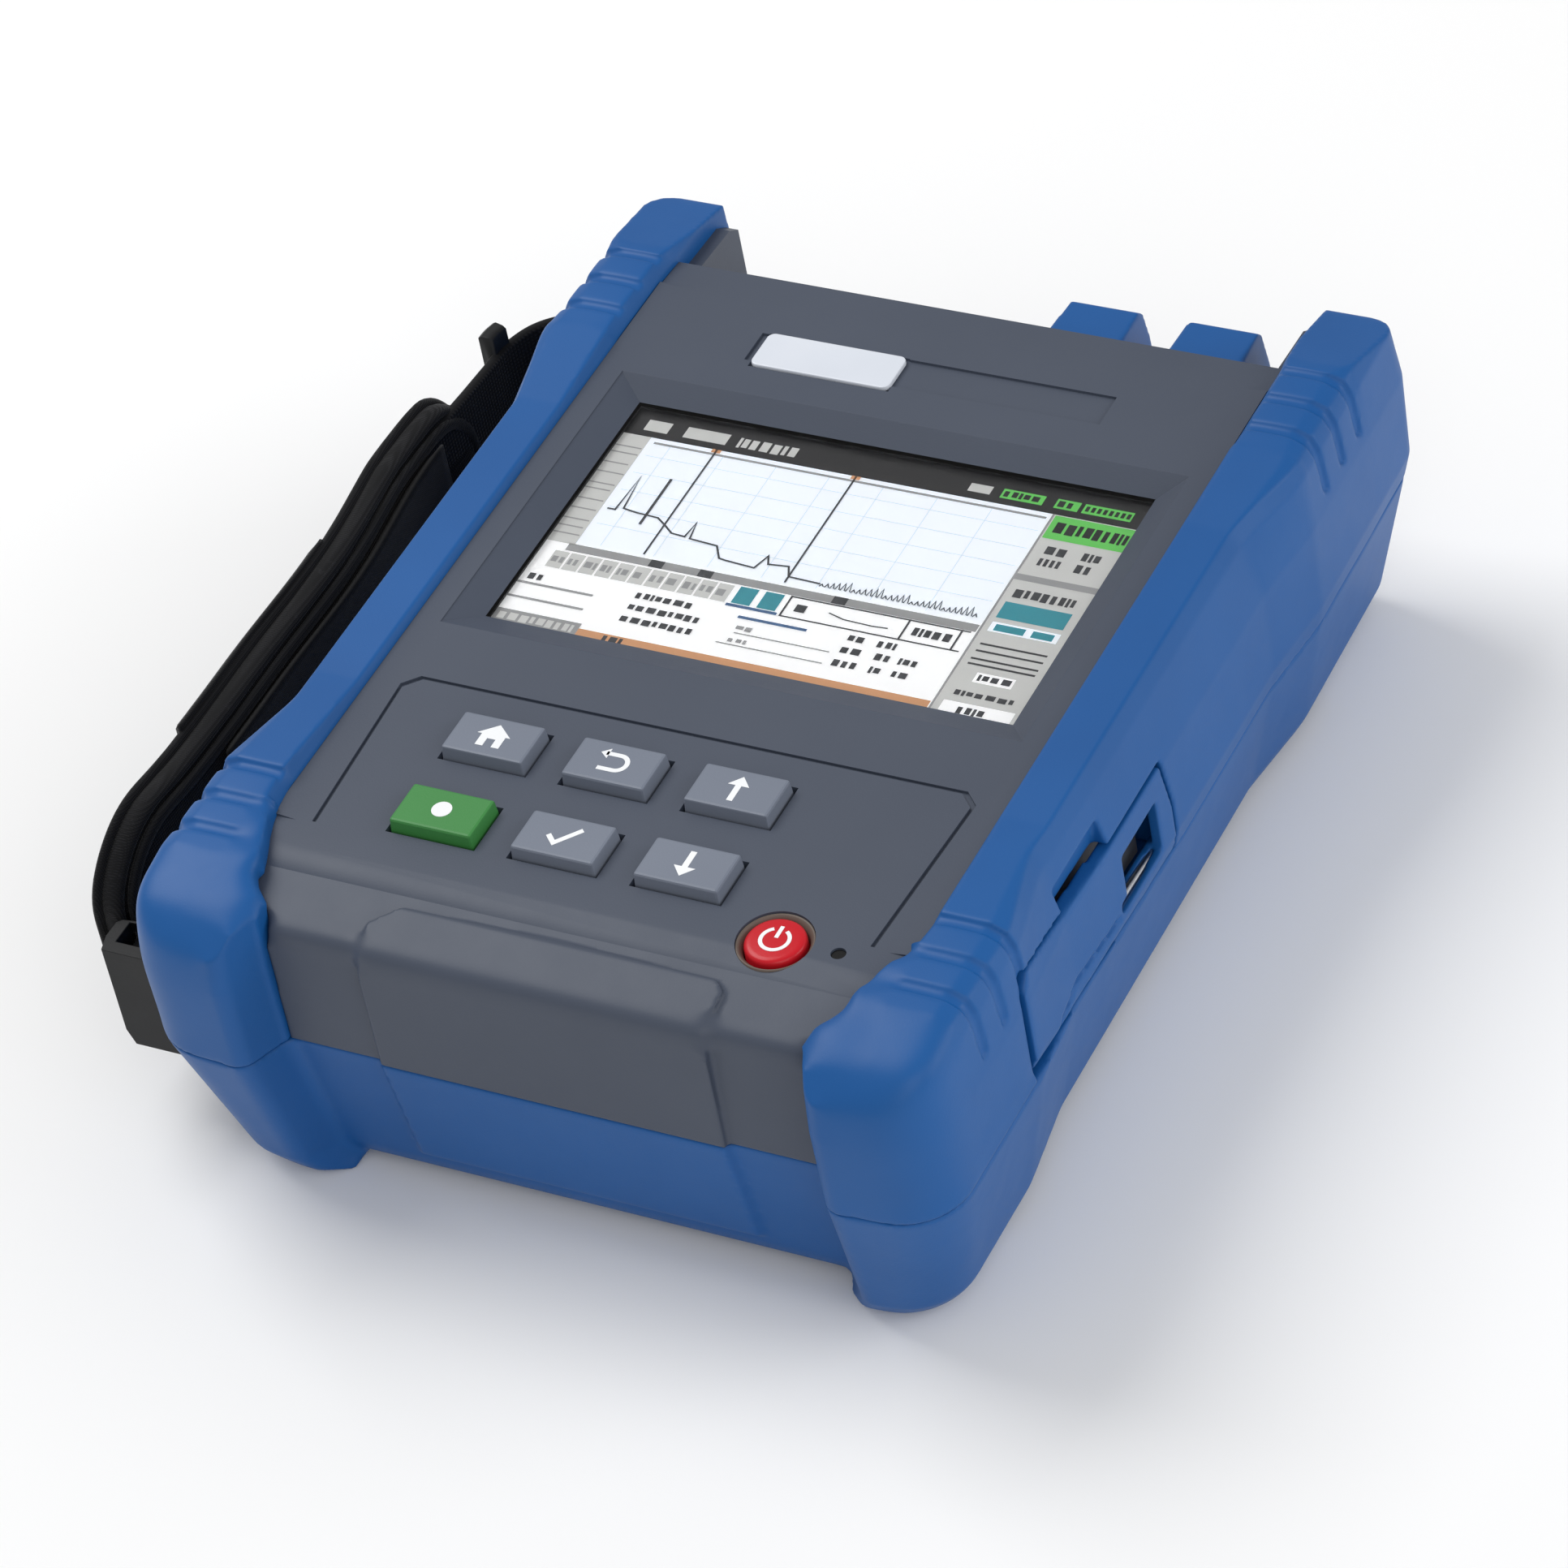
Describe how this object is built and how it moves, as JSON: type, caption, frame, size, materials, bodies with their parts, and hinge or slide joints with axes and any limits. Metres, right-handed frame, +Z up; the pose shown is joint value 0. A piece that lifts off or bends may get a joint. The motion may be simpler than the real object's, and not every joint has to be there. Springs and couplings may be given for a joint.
{
  "type": "optical time domain reflectometer",
  "caption": "Hand-held fibre test set: rugged two-tone case with screen, keypad, capped optical ports, side connector door, tilt stand and padded hand strap.",
  "frame": {"origin": "middle of the whole object, strap included, on the surface that its feet stand on", "axes": "+X to the right of the keypad, +Y from the front edge towards the fibre ports, +Z up out of the screen"},
  "size_m": [0.1934, 0.2278, 0.0736],
  "materials": {
    "badge_white": "blank gloss plate",
    "battery": "wrapped cell pack",
    "board_green": "solder masked board",
    "case_blue": "moulded elastomer over plastic, satin blue",
    "connector_black": "moulded connector body",
    "cover_grey": "fine textured slate grey moulding",
    "gasket_black": "black foam",
    "jack_metal": "plated shell",
    "key_green": "satin green key cap",
    "key_grey": "satin grey key cap",
    "lamp": "smoked light pipe",
    "lcd": "lit display panel",
    "lug_black": "glass filled nylon",
    "module_case": "milled housing",
    "panel_grey": "moulded panel",
    "port_metal": "nickel plated brass",
    "power_red": "semi-gloss red key cap",
    "screen_glass": "clear hard-coated window",
    "screw_steel": "zinc plated",
    "silicone": "translucent grey silicone",
    "strap_black": "woven nylon over foam",
    "tray_steel": "pressed sheet",
    "webbing_black": "woven webbing"
  },
  "bodies": {
    "case": {"battery_cover": "case_blue", "battery_pack": "battery", "blank_badge": "badge_white", "board_screws": "screw_steel", "bottom_case": "case_blue", "cap_pins": "screw_steel", "case_screws": "screw_steel", "connector_block": "connector_black", "dc_jack": "jack_metal", "display_tray": "tray_steel", "door_pin": "screw_steel", "fibre_adapter_a": "port_metal", "fibre_adapter_b": "port_metal", "front_strap_lug": "lug_black", "hatch_screws": "screw_steel", "key_board": "board_green", "key_mat": "silicone", "lan_jack": "jack_metal", "lcd_module": "lcd", "left_rail": "case_blue", "main_board": "board_green", "optical_module": "module_case", "port_panel": "panel_grey", "rear_strap_lug": "lug_black", "right_rail": "case_blue", "screen_window": "screen_glass", "stand_pin": "screw_steel", "status_lamp": "lamp", "strap_band_front": "webbing_black", "strap_band_rear": "webbing_black", "strap_pad": "strap_black", "top_cover": "cover_grey", "tray_screws": "screw_steel", "usb_jack": "jack_metal", "window_gasket": "gasket_black"},
    "home_key_body": {"home_key": "key_grey"},
    "back_key_body": {"back_key": "key_grey"},
    "up_key_body": {"up_key": "key_grey"},
    "start_key_body": {"start_key": "key_green"},
    "enter_key_body": {"enter_key": "key_grey"},
    "down_key_body": {"down_key": "key_grey"},
    "power_button_body": {"power_button": "power_red"},
    "dust_cap_a_body": {"dust_cap_a": "case_blue"},
    "dust_cap_b_body": {"dust_cap_b": "case_blue"},
    "side_door_body": {"side_door": "case_blue"},
    "tilt_stand_body": {"tilt_stand": "cover_grey"}
  },
  "joints": [
    {"name": "home_key_press", "type": "slide", "parent": "case", "child": "home_key_body", "axis": [0, 0, -1], "range_m": [0, 0.0012], "stiffness_N_per_m": 800, "springref_m": -0.0004},
    {"name": "back_key_press", "type": "slide", "parent": "case", "child": "back_key_body", "axis": [0, 0, -1], "range_m": [0, 0.0012], "stiffness_N_per_m": 800, "springref_m": -0.0004},
    {"name": "up_key_press", "type": "slide", "parent": "case", "child": "up_key_body", "axis": [0, 0, -1], "range_m": [0, 0.0012], "stiffness_N_per_m": 800, "springref_m": -0.0004},
    {"name": "start_key_press", "type": "slide", "parent": "case", "child": "start_key_body", "axis": [0, 0, -1], "range_m": [0, 0.0012], "stiffness_N_per_m": 800, "springref_m": -0.0004},
    {"name": "enter_key_press", "type": "slide", "parent": "case", "child": "enter_key_body", "axis": [0, 0, -1], "range_m": [0, 0.0012], "stiffness_N_per_m": 800, "springref_m": -0.0004},
    {"name": "down_key_press", "type": "slide", "parent": "case", "child": "down_key_body", "axis": [0, 0, -1], "range_m": [0, 0.0012], "stiffness_N_per_m": 800, "springref_m": -0.0004},
    {"name": "power_button_press", "type": "slide", "parent": "case", "child": "power_button_body", "axis": [0, 0, -1], "range_m": [0, 0.0012], "stiffness_N_per_m": 800, "springref_m": -0.0004},
    {"name": "dust_cap_a_flip", "type": "hinge", "parent": "case", "child": "dust_cap_a_body", "pos_m": [0.03325, 0.0962, 0.0616], "axis": [1, 0, 0], "range_deg": [0, 90]},
    {"name": "dust_cap_b_flip", "type": "hinge", "parent": "case", "child": "dust_cap_b_body", "pos_m": [0.05905, 0.0962, 0.0616], "axis": [1, 0, 0], "range_deg": [0, 90]},
    {"name": "side_door_swing", "type": "hinge", "parent": "case", "child": "side_door_body", "pos_m": [0.09235, -0.03825, 0.04005], "axis": [0, 0.9976, -0.0692], "range_deg": [0, 90]},
    {"name": "tilt_stand_swing", "type": "hinge", "parent": "case", "child": "tilt_stand_body", "pos_m": [0.01275, 0.086, 0.0057], "axis": [1, 0, 0], "range_deg": [0, 60]}
  ]
}
